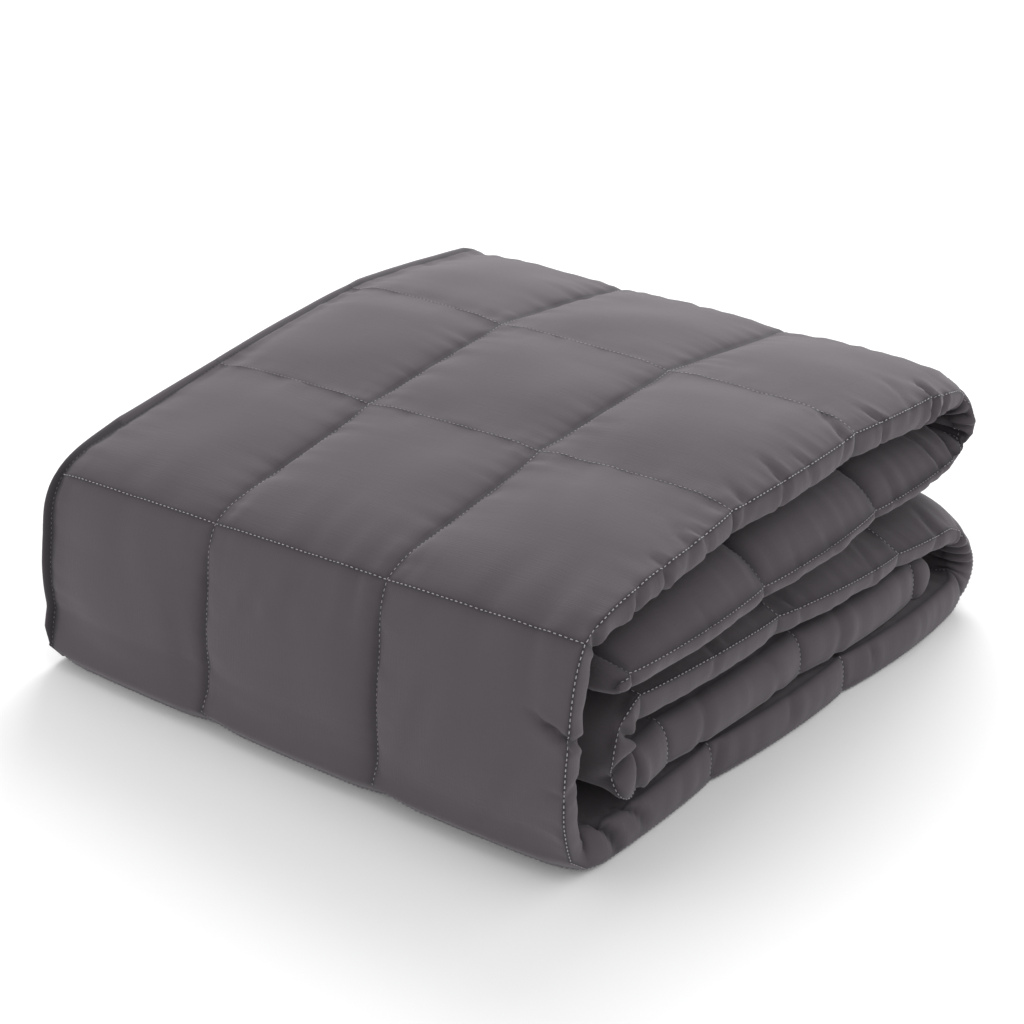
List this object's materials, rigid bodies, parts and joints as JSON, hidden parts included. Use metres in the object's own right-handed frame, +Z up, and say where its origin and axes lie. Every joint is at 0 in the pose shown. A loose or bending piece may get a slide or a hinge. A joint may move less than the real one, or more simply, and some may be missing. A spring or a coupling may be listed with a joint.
{
  "type": "folded weighted blanket",
  "caption": "Grey cotton weighted blanket, quilted in squares and folded back and forth into a soft stack that lies flat.",
  "frame": {"origin": "middle of the base, on the surface that the folded blanket lies on", "axes": "+Z up through the folded layers, +Y from the closed front panel towards the back of the stack, +X to the right across the strip, so -Y is the front face that the outermost layer wraps down over"},
  "size_m": [0.438, 0.4414, 0.1731],
  "materials": {
    "grey_cotton": "matte woven cotton with a faint sheen, quilted with pale grey thread"
  },
  "bodies": {
    "root": {"folded_blanket": "grey_cotton"}
  },
  "joints": []
}
